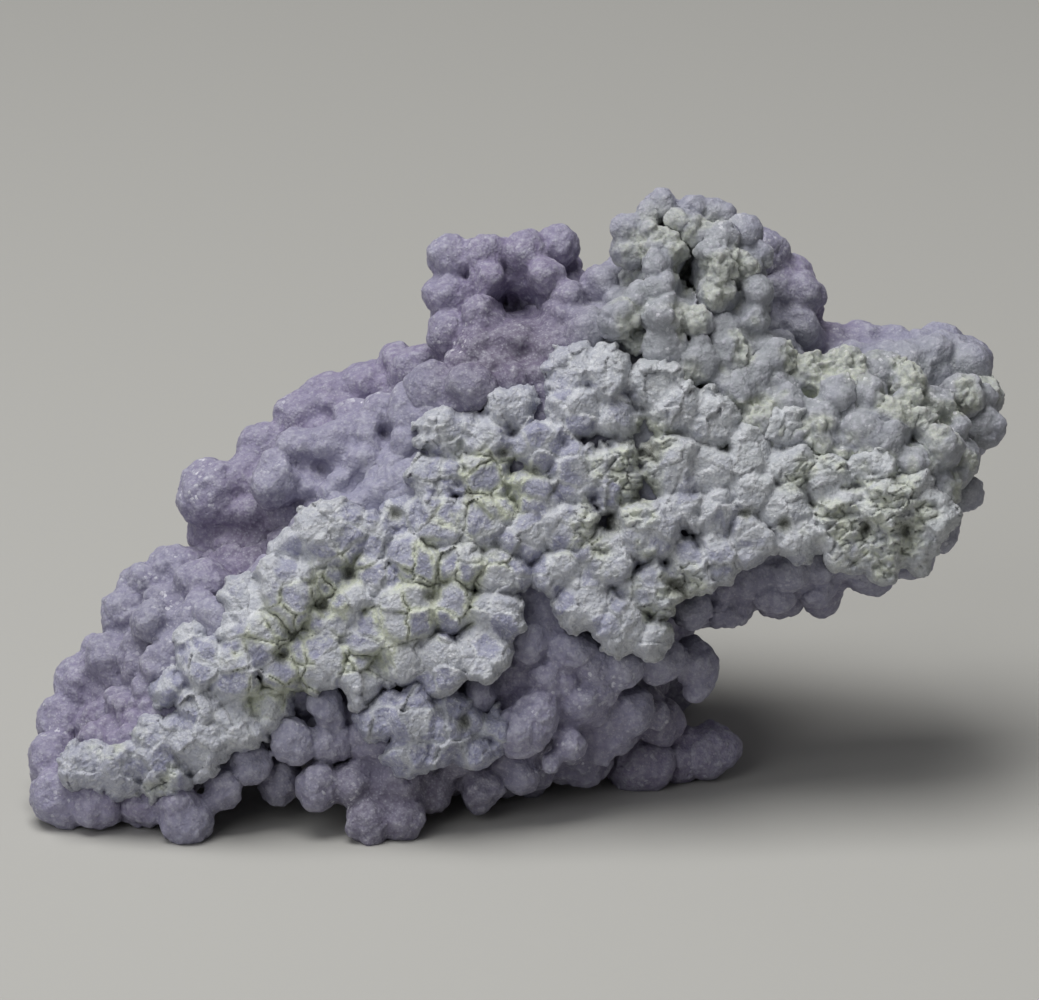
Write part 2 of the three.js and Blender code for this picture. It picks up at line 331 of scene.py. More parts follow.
# Thins the faces of a skin where it is buried in the stone.
def thinHidden(name, points, faces, hidden):
    rough = bpy.data.objects.new(name + "Thin", meshFrom(name + "Thin", points, faces))
    bpy.context.scene.collection.objects.link(rough)
    group = rough.vertex_groups.new(name="hidden")
    group.add(np.nonzero(hidden)[0].tolist(), 1.0, "REPLACE")
    thin = rough.modifiers.new("thin", "DECIMATE")
    thin.ratio = 1 - (1 - growth["hiddenShare"]) * hidden.mean()
    thin.vertex_group = "hidden"
    thin.use_collapse_triangulate = True
    return applied(rough, 3)


# Each face's edges once: the two corner numbers, lowest first.
def edgesOf(faces):
    pairs = np.stack([faces, np.roll(faces, -1, 1)], -1).reshape(-1, 2)
    return np.unique(np.sort(pairs, 1), axis=0)


# Values averaged with their neighbours along the edges, some times over.
def blur(values, edges, times):
    count = np.bincount(edges.ravel(), minlength=len(values))[:, None]
    for _ in range(times):
        total = np.stack([np.bincount(edges[:, 0], v[edges[:, 1]], len(v))
                          + np.bincount(edges[:, 1], v[edges[:, 0]], len(v)) for v in values.T], 1)
        values = 0.5 * values + 0.5 * total / count
    return values


# Normals at the corners: the crossed diagonals of the faces around each, added and made one long.
def normalsOf(points, faces):
    oneWay = points[faces[:, 2]] - points[faces[:, 0]]
    crossed = np.cross(oneWay, points[faces[:, -1]] - points[faces[:, 1]])
    total = np.stack([np.bincount(faces.ravel(), np.repeat(crossed[:, n], faces.shape[1]), len(points))
                      for n in range(3)], 1)
    return total / np.maximum(np.linalg.norm(total, axis=1), 1e-12)[:, None]


# Where the skin is hollow or bulges: how far the blurred skin lies outside (+) or inside (-) of it.
def hollowness(points, faces, edges, times):
    normals = normalsOf(points, faces)
    return np.einsum("ij,ij->i", blur(points, edges, times) - points, normals)


# Colour zones in the plate's frame: across, up, deep, reach, strength. Their soft balls add up.
zones = {
    "green": [
        (15, 54, 5, 7.5, 1.1), (19, 48, 4, 7, 1.0), (25, 44, 5, 7, 1.0), (32, 42, 6, 8, 1.0),
        (39, 38, 7, 7, 1.0), (22, 37, 1, 7, 0.6), (31, 34, 1, 8, 0.8), (37, 31, 3, 6, 0.8),
        (41, 43, 12, 5, 0.9), (12, 48, 3, 5, 0.9), (12, 38, 1, 4, 0.6), (12, 24, 0, 5, 0.5),
    ],
    "violet": [
        (-2, 52, 13, 9, 0.8), (-16, 41, 16, 9, 0.75), (-27, 33, 16, 7, 0.6), (26, 51, 18, 7, 0.95),
        (2, 14, 7, 8, 0.6), (-12, 5, 5, 8, 0.65), (14, 8, 17, 8, 0.9), (-24, 27, 13, 7, 0.75),
        (5, 48, 9, 7, 0.8), (-42, 10, 12, 8, 0.5), (-37, 9, 2, 8, 0.9), (-26, 26, 6, 5, 0.5),
        (-2, 33, 34, 22, 0.7), (0, 15, 34, 16, 0.7), (-34, 16, 20, 12, 0.6), (33, 38, 26, 12, 0.7),
        (24, 27, 15, 9, 0.5), (10, 50, 22, 14, 0.7), (-2, 45, 6, 6, 0.9),
    ],
    # The deep zones paint shade: the underside and the recesses under and between the clusters are made
    # darker.
    "deep": [
        (-24, 29, 12, 5, 0.9), (2, 47, 7, 5, 0.7), (-6, 8, 9, 6, 0.5), (10, 14, 12, 6, 0.5),
        (-26, 7, 7, 5, 0.4), (-16, 4, 5, 7, 0.8), (-8, 5, 8, 7, 0.7), (22, 25, 12, 6, 0.5),
        (-38, 10, 9, 5, 0.4), (-28, 4, 6, 5, 0.5), (-3, 44.5, 5, 6, 0.8), (-34, 19, 8, 6, 0.45),
    ],
}


def zoneMask(name, points):
    total = np.zeros(len(points))
    for across, up, deep, reach, strength in zones[name]:
        total += strength * np.exp(-np.sum((points - (across, up, deep)) ** 2, 1) / reach**2)
    return np.clip(total, 0, 1)


# The finished piece: in metres in the stone's frame, smooth, with its masks, its material and its place.
def finishPiece(name, points, faces, masks, material):
    mesh = meshFrom(name, toStone(points), faces)
    mesh.polygons.foreach_set("use_smooth", np.ones(len(faces), bool))
    for maskName, values in masks.items():
        layer = mesh.attributes.new(maskName, "FLOAT", "POINT")
        layer.data.foreach_set("value", np.clip(values, 0, 1).astype(np.float32))
    piece = bpy.data.objects.new(name, mesh)
    bpy.context.scene.collection.objects.link(piece)
    mesh.materials.append(material)
    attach(piece, "root")
    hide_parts("chalcedony")
    print(name, "has", len(faces) * (faces.shape[1] - 2), "triangles")
    return piece


# Puts a node into a tree and sets its plain values by input name.
def addNode(tree, kind, values=None, **settings):
    node = tree.nodes.new(kind)
    for key, value in settings.items():
        setattr(node, key, value)
    for key, value in (values or {}).items():
        node.inputs[key].default_value = value
    return node


def joinSockets(tree, source, target):
    tree.links.new(source, target)


# Fine grain of the stone, on Object coordinates: sugary bumps, glinting crystal faces in scattered patches,
# a cloudy mottle and a fine speckle.
def makeGrainGroup():
    group = bpy.data.node_groups.new("sugarGrain", "ShaderNodeTree")
    for label, usual in (("Grain Scale", 4200.0), ("Cloud Scale", 260.0), ("Patch Scale", 130.0)):
        socket = group.interface.new_socket(label, in_out="INPUT", socket_type="NodeSocketFloat")
        socket.default_value = usual
    for label in ("Height", "Glint", "Cloud", "Speckle", "Sugar"):
        group.interface.new_socket(label, in_out="OUTPUT", socket_type="NodeSocketFloat")
    enter = addNode(group, "NodeGroupInput")
    leave = addNode(group, "NodeGroupOutput")
    place = addNode(group, "ShaderNodeTexCoord")
    sugar = addNode(group, "ShaderNodeTexVoronoi", {"Randomness": 1.0})
    rough = addNode(group, "ShaderNodeTexNoise", {"Detail": 5.0, "Roughness": 0.7})
    cloud = addNode(group, "ShaderNodeTexNoise", {"Detail": 5.0, "Roughness": 0.65})
    patch = addNode(group, "ShaderNodeTexNoise", {"Detail": 3.0, "Roughness": 0.6})
    half = addNode(group, "ShaderNodeMath", {1: 0.45}, operation="MULTIPLY")
    joinSockets(group, enter.outputs["Grain Scale"], half.inputs[0])
    for texture, scale in ((sugar, enter.outputs["Grain Scale"]), (rough, half.outputs[0]),
                           (cloud, enter.outputs["Cloud Scale"]), (patch, enter.outputs["Patch Scale"])):
        joinSockets(group, place.outputs["Object"], texture.inputs["Vector"])
        joinSockets(group, scale, texture.inputs["Scale"])
    dip = addNode(group, "ShaderNodeMath", {1: -0.6, 2: 0.5}, operation="MULTIPLY_ADD")
    joinSockets(group, sugar.outputs["Distance"], dip.inputs[0])
    coarse = addNode(group, "ShaderNodeMath", {1: 1.6}, operation="MULTIPLY")
    joinSockets(group, rough.outputs["Fac"], coarse.inputs[0])
    height = addNode(group, "ShaderNodeMath", operation="ADD")
    joinSockets(group, dip.outputs[0], height.inputs[0])
    joinSockets(group, coarse.outputs[0], height.inputs[1])
    joinSockets(group, height.outputs[0], leave.inputs["Height"])
    pick = addNode(group, "ShaderNodeSeparateColor")
    joinSockets(group, sugar.outputs["Color"], pick.inputs[0])
    chosen = addNode(group, "ShaderNodeMapRange", {"From Min": 0.9, "From Max": 0.97})
    joinSockets(group, pick.outputs["Red"], chosen.inputs["Value"])
    druse = addNode(group, "ShaderNodeMapRange", {"From Min": 0.5, "From Max": 0.66})
    joinSockets(group, patch.outputs["Fac"], druse.inputs["Value"])
    glint = addNode(group, "ShaderNodeMath", operation="MULTIPLY")
    joinSockets(group, chosen.outputs["Result"], glint.inputs[0])
    joinSockets(group, druse.outputs["Result"], glint.inputs[1])
    joinSockets(group, glint.outputs[0], leave.inputs["Glint"])
    for source, label, low, high in ((cloud.outputs["Fac"], "Cloud", 0.32, 0.68),
                                     (rough.outputs["Fac"], "Speckle", 0.4, 0.62),
                                     (sugar.outputs["Distance"], "Sugar", 0.45, 0.12)):
        spreadOut = addNode(group, "ShaderNodeMapRange", {"From Min": low, "From Max": high})
        joinSockets(group, source, spreadOut.inputs["Value"])
        joinSockets(group, spreadOut.outputs["Result"], leave.inputs[label])
    return group


grainGroup = makeGrainGroup()

# Colours of the two stones. The deep colour is painted shade: it darkens hollows, cracks, pits, recesses and
# the underside. The pale frosting colour is the stone's own along the crust's seams and in its mottled
# patches, and is painted highlight where a skin bulges.
finishes = {
    "beadStone": {
        "pale": (0.27, 0.272, 0.37), "violet": (0.215, 0.183, 0.297), "green": (0.28, 0.295, 0.32),
        "frostAndHighlight": (0.53, 0.53, 0.60), "deep": (0.05, 0.038, 0.055), "dust": (0.50, 0.53, 0.42),
        "speckle": (0.50, 0.50, 0.56), "specks": 0.2, "glint": (0.85, 0.85, 0.9), "sugar": 0.3,
        "grainScale": 3200.0, "cloudScale": 230.0, "patchScale": 140.0,
        "bump": 0.8, "grainDepth": 0.00014, "roughness": 0.62, "scatter": 0.3,
    },
    "crustStone": {
        "pale": (0.41, 0.425, 0.48), "violet": (0.265, 0.27, 0.385), "green": (0.41, 0.435, 0.445),
        "frostAndHighlight": (0.59, 0.605, 0.65), "deep": (0.11, 0.11, 0.075), "dust": (0.55, 0.585, 0.45),
        "speckle": (0.68, 0.69, 0.70), "specks": 0.3, "glint": (0.85, 0.85, 0.9), "sugar": 0.42,
        "grainScale": 3400.0, "cloudScale": 480.0, "patchScale": 180.0,
        "bump": 0.9, "grainDepth": 0.0002, "roughness": 0.7, "scatter": 0.1,
    },
}


# Stone: a pale ground, tinted in turn by the piece's masks, with grain in its colour, gloss and normals.
def makeStone(name, look):
    material = bpy.data.materials.new(name)
    material.use_nodes = True
    tree = material.node_tree
    shader = tree.nodes["Principled BSDF"]
    shader.inputs["IOR"].default_value = 1.5
    shader.inputs["Specular IOR Level"].default_value = 0.4
    shader.inputs["Subsurface Weight"].default_value = look["scatter"]
    shader.inputs["Subsurface Radius"].default_value = (1.0, 0.85, 1.0)
    shader.inputs["Subsurface Scale"].default_value = 0.0009
    grain = addNode(tree, "ShaderNodeGroup")
    grain.node_tree = grainGroup
    grain.inputs["Grain Scale"].default_value = look["grainScale"]
    grain.inputs["Cloud Scale"].default_value = look["cloudScale"]
    grain.inputs["Patch Scale"].default_value = look["patchScale"]
    colour = None

    # Lays a colour over what there is, at first the pale ground, by a mask made patchy by the grain.
    def layOver(under, maskSocket, patchSocket, patchy, over, most):
        ends = {"To Min": most * (1 - patchy), "To Max": most * (1 + patchy)}
        patches = addNode(tree, "ShaderNodeMapRange", ends)
        joinSockets(tree, patchSocket, patches.inputs["Value"])
        share = addNode(tree, "ShaderNodeMath", operation="MULTIPLY", use_clamp=True)
        joinSockets(tree, maskSocket, share.inputs[0])
        joinSockets(tree, patches.outputs["Result"], share.inputs[1])
        mix = addNode(tree, "ShaderNodeMix", data_type="RGBA")
        mix.inputs["A"].default_value = (*look["pale"], 1)
        mix.inputs["B"].default_value = (*over, 1)
        joinSockets(tree, share.outputs[0], mix.inputs["Factor"])
        if under:
            joinSockets(tree, under, mix.inputs["A"])
        return mix.outputs["Result"]

    # The deep layer lays painted shade over the stone's own colours, and the pale frosting layer lays its
    # own frosting partly and painted highlight partly.
    for maskName, patchSocket, patchy in (("violet", "Cloud", 0.3), ("green", "Cloud", 0.3),
                                          ("frostAndHighlight", "Speckle", 0.6), ("dust", "Speckle", 0.5),
                                          ("deep", "Cloud", 0.15)):
        mask = addNode(tree, "ShaderNodeAttribute", attribute_name=maskName)
        colour = layOver(colour, mask.outputs["Fac"], grain.outputs[patchSocket], patchy, look[maskName], 1)
    fineCoats = (("Speckle", "Cloud", 0.7, look["speckle"], look["specks"]),
                 ("Sugar", "Speckle", 0.6, look["speckle"], look["sugar"]),
                 ("Glint", "Speckle", 0.3, look["glint"], 0.5))
    for maskName, patchSocket, patchy, over, most in fineCoats:
        colour = layOver(colour, grain.outputs[maskName], grain.outputs[patchSocket], patchy, over, most)
    joinSockets(tree, colour, shader.inputs["Base Color"])
    gloss = addNode(tree, "ShaderNodeMapRange", {"To Min": look["roughness"], "To Max": 0.2})
    joinSockets(tree, grain.outputs["Glint"], gloss.inputs["Value"])
    joinSockets(tree, gloss.outputs["Result"], shader.inputs["Roughness"])
    bump = addNode(tree, "ShaderNodeBump", {"Strength": look["bump"], "Distance": look["grainDepth"]})
    joinSockets(tree, grain.outputs["Height"], bump.inputs["Height"])
    joinSockets(tree, bump.outputs["Normal"], shader.inputs["Normal"])
    return material


beadStone = makeStone("beadStone", finishes["beadStone"])
crustStone = makeStone("crustStone", finishes["crustStone"])
print("materials are made")

# The broken face, in millimetres. Lumps as seen on it: across, up, depth of the lump's middle, radius.
crust = {
    "seed": 77, "cell": 0.13,  # the relief's grid
    "reach": 1.2, "backDeep": 6.5,  # ends this many radii from a lump's middle, and this deep behind
    "edgeRoll": 3.2, "rollWidth": 1.6,  # how far back the rim rolls, over what width
    "dome": (0.1, 0.6), "flatness": 0.62, "tilt": 0.14, "step": 0.25,  # the lumps' shape and levels
    "warp": 0.5, "blend": 1.5,  # how uneven their outlines are, and how softly they meet
    "valley": 0.14, "groove": 0.4, "grooveWidth": 0.085,  # between the lumps, and in the cracks
    "tileSize": 2.5, "tileStep": 0.28, "tileTilt": 0.2,  # broken tiles
    "chipSize": 1.2, "chipStep": 0.1, "chipTilt": 0.13, "grit": 0.1,  # small chips and grit
    "crumbSize": 0.9, "crumbStep": 0.5, "crumbTilt": 0.5, "crumbGap": 0.4, "ledge": 0.6,  # crumbling places
    "rimUneven": 0.5, "bend": 0.18, "rough": 0.12,  # unevenness of the rim, of the tiles' edges, of it all
    "coreShare": (0.2, 0.55), "rimFrost": 0.4,  # which tiles show lilac, and white along the seams
    "lumps": [
        (-40, 8, 3.4, 2.3), (-36.8, 7.8, 2.2, 2.5), (-33.4, 8, 1.4, 2.5), (-33, 11, 1.4, 2.2),
        (-29.6, 10.2, 0.8, 2.5), (-29.6, 13.6, 0.4, 2.2), (-26.2, 12.2, 0.6, 2.5), (-26.6, 16.4, 0, 2.5),
        (-23.2, 13.6, 0.8, 2), (-29, 17.4, 0.8, 2.4), (-32.4, 15.4, 1.8, 1.8), (-30.6, 19.8, 2.2, 1.8),
        (-24.4, 20, 0, 2.9), (-21.2, 24.2, -0.2, 3.2), (-25.6, 23.2, 1.6, 2.2), (-22, 17.2, 0, 2.2),
        (-18.4, 18.2, 0.4, 2.8), (-17.6, 21.6, 0.8, 2.2), (-15.4, 23.4, 0.2, 2.3), (-17.4, 25.8, 0.8, 1.9),
        (-17.5, 29.2, 0.8, 3.2), (-20.8, 28.2, 2.2, 2), (-13.2, 26, 0.2, 2.4), (-13, 29.6, 0.8, 2.3),
        (-9.8, 27.6, 0.2, 2.6), (-10.2, 22.6, -0.6, 3.2), (-14, 20.6, -0.2, 2.2), (-14.6, 16.6, 0.6, 2.4),
        (-10.4, 18.4, -0.4, 2.4), (-10.6, 31.6, 1.8, 2.1), (-7.2, 18, -0.6, 2.7), (-3.4, 19.2, -0.8, 2.6),
        (-2.2, 22.4, -0.8, 2.5), (-6, 23.2, -0.4, 2.4), (-5.4, 26.8, -0.4, 2.5), (-1.4, 26.2, -0.6, 2.5),
        (-7.4, 31.2, 0.2, 2.5), (-3.4, 31.2, 0, 2.6), (-7.6, 35, 1.2, 2.5), (-3.4, 35.4, 0.6, 2.5),
        (-6.6, 39.2, 1.8, 2.4), (-2.6, 38.4, 1, 2.4), (-0.6, 41.4, 1.6, 2.2), (1.8, 38, 0.2, 2.4),
        (1.6, 33.2, -0.2, 2.5), (0.6, 29.6, -0.2, 2.2), (4.4, 44.6, 2, 2.5), (8.2, 44.4, 1.4, 2.6),
        (12.4, 44, 1.4, 2.4), (5.4, 41, 0.8, 2.5), (9, 41, 0.8, 2.2), (5.2, 35.2, -0.2, 2.8),
        (4.4, 30.6, -0.4, 2.5), (14.6, 41.2, 1, 2.6), (14.4, 36, 0, 2.7), (8.6, 35, 0.2, 2.6),
        (12, 30, -1, 3), (14.9, 32, 0, 2.4), (8, 27.4, -1, 2.6), (3.8, 26.4, -0.8, 2.4),
        (6, 23.6, -0.8, 2.4), (9.4, 21, -1, 2.5), (11.6, 20, -0.8, 1.9), (12, 24.4, -0.6, 2.6),
        (15.4, 26.6, -0.2, 2.3), (17.8, 36, 0.8, 2.6), (18.2, 31.8, 0.4, 2.5), (18.6, 28, 0.2, 2.2),
        (21.6, 29.4, 0.2, 2.3), (21.8, 33.6, 0.8, 2.6), (21.4, 37.2, 1.8, 2.5), (24.6, 32, 1, 2.7),
        (26.2, 29.4, 0.8, 2.2), (25.6, 35.8, 1.8, 2.5), (29, 34.6, 1.6, 2.4), (17.6, 40.2, 1.4, 2.4),
        (24.4, 39.6, 2.6, 2.1), (30.4, 31.6, 0.8, 2.7), (30.4, 28.6, 0.6, 2.5), (33.6, 28.6, 0.8, 2.8),
        (34.2, 32.6, 0.8, 3.1), (37.6, 31.4, 2.2, 2.7), (32.6, 35.4, 1.4, 2.4), (36.4, 34, 1.8, 2.2),
        (36.8, 28.8, 2.6, 2.2),
    ],
    # Pits between the lumps: across, up, radius, depth.
    "pits": [
        (8.3, 30.7, 1.0, 1.8), (-15.8, 26, 0.6, 1.8), (-18.2, 22.9, 0.6, 1.6), (-22, 18.4, 0.5, 1.6),
        (-8.2, 24, 0.6, 1.5), (-1.5, 37.3, 0.5, 1.3), (12.2, 37.5, 0.9, 1.6), (-11.5, 31.5, 0.7, 1.3),
        (11.2, 33.6, 0.8, 1.2), (14.6, 24.6, 0.8, 1.5), (-4.6, 33.2, 0.5, 1.0), (1.4, 35.6, 0.5, 1.0),
        (24.6, 30.6, 0.6, 1.2), (32, 30.2, 0.7, 1.2), (35.6, 30.4, 0.6, 1.2), (21, 31.6, 0.5, 1.0),
    ],
    # Crumbling, flaky places: across, up, reach, strength.
    "flaky": [
        (10.5, 37, 3.6, 1.2), (14, 24, 3.6, 1.1), (33.5, 31, 5.5, 1.1), (6, 31, 2.5, 0.5),
        (-3, 29, 3, 0.4), (28, 36, 4, 0.6), (-5, 38, 3, 0.5), (11, 31, 2.4, 0.6), (20, 39, 3, 0.4),
        (-36, 8, 5, 0.5), (7, 27, 2.5, 0.4),
    ],
    # Places with open cracks between the tiles: across, up, reach, strength.
    "cracked": [
        (-17, 22, 6, 0.8), (-8, 25, 6, 0.9), (-3, 34, 5, 0.8), (7, 29, 4, 0.6), (-23, 17, 4, 0.9),
        (33, 31, 6, 0.5), (12, 37, 4, 0.6),
    ],
    # Places where the stone shows lilac cores: across, up, reach, strength.
    "cores": [
        (-24, 20, 7, 0.8), (-16, 25, 8, 0.9), (-9, 20, 7, 0.9), (-6, 27, 7, 0.9), (-2, 35, 7, 0.8),
        (11, 32, 7, 0.8), (16, 27, 6, 0.8), (4, 24, 6, 0.6), (20, 35, 6, 0.7), (-33, 11, 9, 1.0),
        (28, 32, 8, 0.7), (8, 43, 7, 0.5), (-12, 30, 5, 0.6),
    ],
}

# The broken lip that hangs below the crust, on the belly.
lip = {
    **crust, "seed": 12, "reach": 1.12, "backDeep": 6.0, "tileSize": 3.4, "tileStep": 0.16, "valley": 0.1,
    "coreShare": (-1, 0), "rimFrost": 0.1,
    "lumps": [
        (-12.8, 12.4, 0.6, 2.3), (-9.8, 12.4, -0.4, 2.9), (-6.8, 10.8, -0.2, 2.6), (-10.4, 9.6, 0.6, 2.2),
        (-6.4, 13.4, 1.2, 2.0), (-2.8, 11.6, 1.4, 2.1), (-4.2, 9.4, 1.4, 1.9),
    ],
    "pits": [(-5.2, 12.2, 0.6, 1.0)],
    "flaky": [(-13, 11, 2, 0.3)],
    "cracked": [],
    "cores": [(-9, 11, 9, 1.6)],
}


# Which grid squares to keep: where two kept squares meet only at a corner, the two others are kept too.
def withoutCornerTouches(keep):
    for _ in range(6):
        a, b, c, d = keep[:-1, :-1], keep[1:, :-1], keep[:-1, 1:], keep[1:, 1:]
        touching = (a & d & ~b & ~c) | (b & c & ~a & ~d)
        if not touching.any():
            break
        for view in (a, b, c, d):
            view |= touching
    return keep


# The crust as a relief over (across, up): each lump is a slightly tilted, slightly domed cap out to where it
# meets its neighbour, and the caps blend over a narrow strip. Also the way to that meeting line, and how far
# inside the rim of the whole crust each place is.
def lumpRelief(flat, spec):
    lumps = np.array(spec["lumps"])
    random = np.random.default_rng(spec["seed"])
    tilts = random.normal(0, spec["tilt"], (len(lumps), 2))
    domes = random.uniform(*spec["dome"], len(lumps)) / lumps[:, 3] ** 2
    steps = random.uniform(-1, 1, len(lumps)) * spec["step"]
    levels = lumps[:, 2] - lumps[:, 3] * spec["flatness"] + steps
    shifted = np.column_stack([flat, np.zeros(len(flat))])
    warp = np.stack([roughNoise(shifted, 2.1, seed, 3) for seed in (61, 71)], 1) * spec["warp"]
    places = flat + warp
    square = ((places[:, :1] - lumps[:, 0]) ** 2 + (places[:, 1:] - lumps[:, 1]) ** 2).astype(np.float32)
    power = square - (lumps[:, 3] ** 2).astype(np.float32)
    order = np.argpartition(power, 1, axis=1)[:, :2]
    rows = np.arange(len(flat))
    first = np.where(power[rows, order[:, 0]] <= power[rows, order[:, 1]], order[:, 0], order[:, 1])
    second = order.sum(1) - first
    between = np.linalg.norm(lumps[first, :2] - lumps[second, :2], axis=1)
    border = (power[rows, second] - power[rows, first]) / (2 * between)
    weight = np.exp(-(power - power[rows, first][:, None]) / spec["blend"])
    caps = (levels - np.sum(lumps[:, :2] * tilts, 1) + places @ tilts.T + domes * square)
    deep = np.sum(weight * caps, 1) / np.sum(weight, 1)
    inside = np.max(spec["reach"] * lumps[:, 3] - np.sqrt(square), axis=1)
    return deep, border, inside


# A patchy mask over (across, up): soft balls added up, made ragged by rough noise.
def patchMask(spots, flat, size, seed):
    total = np.zeros(len(flat))
    for a, u, radius, strength in spots:
        total += strength * np.exp(-((flat[:, 0] - a) ** 2 + (flat[:, 1] - u) ** 2) / radius**2)
    spot = np.column_stack([flat, np.zeros(len(flat))])
    return smoothStep(0.25, 0.75, total * (1 + 0.9 * roughNoise(spot, size, seed, 3)))


# A slope that is even over a chip and has its own direction: its number times a few turns.
def chipSlope(away, number):
    turn = number * 40
    return away[:, 0] * np.cos(turn) + away[:, 1] * np.sin(turn)


# The broken face: the lumps' relief broken into tiles and small chips at their own levels and slopes, with
# cracks, pits, crumbling places, grit and a rolled-off rim. Gives a grid of places, how far each is inside
# the rim, the grid's shape, and the masks.
def brokenFace(spec):
    cell = spec["cell"] * coarser
    lumps = np.array(spec["lumps"])
    low, high = lumps[:, :2].min(0) - 4, lumps[:, :2].max(0) + 4
    steps = [np.arange(low[n], high[n], cell) for n in range(2)]
    grid = np.stack(np.meshgrid(*steps, indexing="ij"), -1)
    shape = grid.shape[:2]
    every = grid.reshape(-1, 2)
    reach = np.full(len(every), -9.0)
    for across, up, _, radius in lumps:
        reach = np.maximum(reach, radius * 1.5 - np.hypot(every[:, 0] - across, every[:, 1] - up))
    near = reach > 0
    flat = every[near]
    deep, border, inside = lumpRelief(flat, spec)
    spot = np.column_stack([flat, np.zeros(len(flat))])
    inside += spec["rimUneven"] * roughNoise(spot, 1.5, 19, 3)
    flaky = patchMask(spec["flaky"], flat, 2.0, 91)
    cracked = patchMask(spec["cracked"], flat, 3.0, 101) * (1 - flaky)
    bent = flat + spec["bend"] * np.stack([roughNoise(spot, 0.9, seed, 2) for seed in (171, 181)], 1)
    tileAway, tileNumber, tileBorder = chipNoise(bent, spec["tileSize"], 201)
    deep += (1 - 0.6 * flaky) * (spec["tileStep"] * (tileNumber * 2 - 1)
                                 + spec["tileTilt"] * chipSlope(tileAway, tileNumber))
    chipAway, chipNumber, _ = chipNoise(bent + 3.3, spec["chipSize"], 231)
    chipped = smoothStep(-0.3, 0.4, roughNoise(spot, 3.5, 221, 3)) * (1 - flaky)
    deep += chipped * (spec["chipStep"] * (chipNumber * 2 - 1)
                       + spec["chipTilt"] * chipSlope(chipAway, chipNumber))
    deep += spec["valley"] * np.exp(-(border / 0.45) ** 2)
    seam = np.minimum(border, tileBorder)
    broken = smoothStep(-0.3, 0.3, roughNoise(spot, 1.6, 161, 2))
    crack = np.exp(-(seam / spec["grooveWidth"]) ** 2) * cracked * broken
    deep += spec["groove"] * crack + 0.08 * np.exp(-(tileBorder / 0.2) ** 2)
    pit = np.zeros(len(flat))
    for a, u, radius, depth in spec["pits"]:
        away = (flat[:, 0] - a) ** 2 + (flat[:, 1] - u) ** 2
        hole = np.exp(-away / radius**2 * (1 + 0.6 * softNoise(spot, 0.7, 7)))
        pit = np.maximum(pit, hole)
        deep += depth * hole
    deep += spec["rough"] * roughNoise(spot, 1.4, 111, 4)
    stretched = (flat + 0.3 * softNoise(spot, 0.7, 3)[:, None]) * (0.65, 1.25)
    crumbAway, crumbNumber, crumbBorder = chipNoise(stretched, spec["crumbSize"], 121)
    gap = np.exp(-(crumbBorder / 0.13) ** 2) * flaky
    ledges = roughNoise(spot * (0.6, 1.6, 1), 1.8, 141, 3)
    deep += flaky * (spec["ledge"] * ledges + spec["crumbStep"] * (crumbNumber - 0.5)
                     + spec["crumbTilt"] * chipSlope(crumbAway, crumbNumber)) + spec["crumbGap"] * gap
    grit, _ = grainNoise(spot, 0.42, 151)
    deep += spec["grit"] * (grit - 0.5) + 0.03 * roughNoise(spot, 0.35, 131, 2)
    t = np.clip(inside / spec["rollWidth"], 0, 1)
    deep += spec["edgeRoll"] * (1 - np.sqrt(1 - (1 - t) ** 2)) + np.where(inside < 0, -inside * 2, 0)
    parts = {"flaky": flaky, "cracked": cracked, "crack": crack, "gap": gap, "pit": pit, "seam": seam,
             "tile": tileNumber, "tileBorder": tileBorder, "ledges": ledges,
             "cores": patchMask(spec["cores"], flat, 3.0, 241)}
    points = np.column_stack([every, np.zeros(len(every))])
    points[near, 2] = deep
    within = np.full(len(every), -9.0)
    within[near] = inside
    masks = {}
    for key, values in parts.items():
        masks[key] = np.zeros(len(every))
        masks[key][near] = values
    return points, within, shape, masks


# The edges that belong to one face only, in that face's order.
def openEdges(faces):
    pairs = np.stack([faces, np.roll(faces, -1, 1)], -1).reshape(-1, 2)
    _, start, count = np.unique(np.sort(pairs, 1), axis=0, return_index=True, return_counts=True)
    return pairs[start[count == 1]]


# The piece, open at the back: the grid squares inside the rim, their rim drawn out to where the way inside
# is 0, and
# # walls straight back from it; fillBack fills the back later. Also gives each corner's place in the grid.
def crustShell(spec, points, within, shape):
    cell = spec["cell"] * coarser
    number = np.arange(len(points)).reshape(shape)
    inGrid = (within > 0).reshape(shape)
    keep = withoutCornerTouches(inGrid[:-1, :-1] & inGrid[1:, :-1] & inGrid[:-1, 1:] & inGrid[1:, 1:])
    i, j = np.nonzero(keep)
    faces = np.stack([number[i, j], number[i + 1, j], number[i + 1, j + 1], number[i, j + 1]], 1)
    rim = openEdges(faces)
    used, rimPoints = np.unique(faces), np.unique(rim)
    slope = np.stack(np.gradient(within.reshape(shape), cell), -1).reshape(-1, 2)[rimPoints]
    shift = -slope * (within[rimPoints] / np.maximum(np.sum(slope**2, 1), 0.25))[:, None]
    backs = points[rimPoints]
    backs[:, 2] = spec["backDeep"]
    drawn = points.copy()
    drawn[rimPoints, :2] += np.clip(shift, -0.8 * cell, 0.8 * cell)
    renumber = np.full(len(points), -1)
    renumber[used] = np.arange(len(used))
    behind = np.full(len(points), -1)
    behind[rimPoints] = len(used) + np.arange(len(rimPoints))
    walls = np.stack([renumber[rim[:, 1]], renumber[rim[:, 0]], behind[rim[:, 0]], behind[rim[:, 1]]], 1)
    corners, sides = np.vstack([drawn[used], backs]), np.vstack([renumber[faces], walls])
    return corners, sides, np.concatenate([used, rimPoints])


# Fills the open back of a crust piece.
def fillBack(piece):
    shell = bmesh.new()
    shell.from_mesh(piece.data)
    bmesh.ops.triangle_fill(shell, use_beauty=False, use_dissolve=False,
                            edges=[edge for edge in shell.edges if edge.is_boundary])
    shell.to_mesh(piece.data)
    print(piece.name, "open edges left:", sum(edge.is_boundary for edge in shell.edges))
    shell.free()


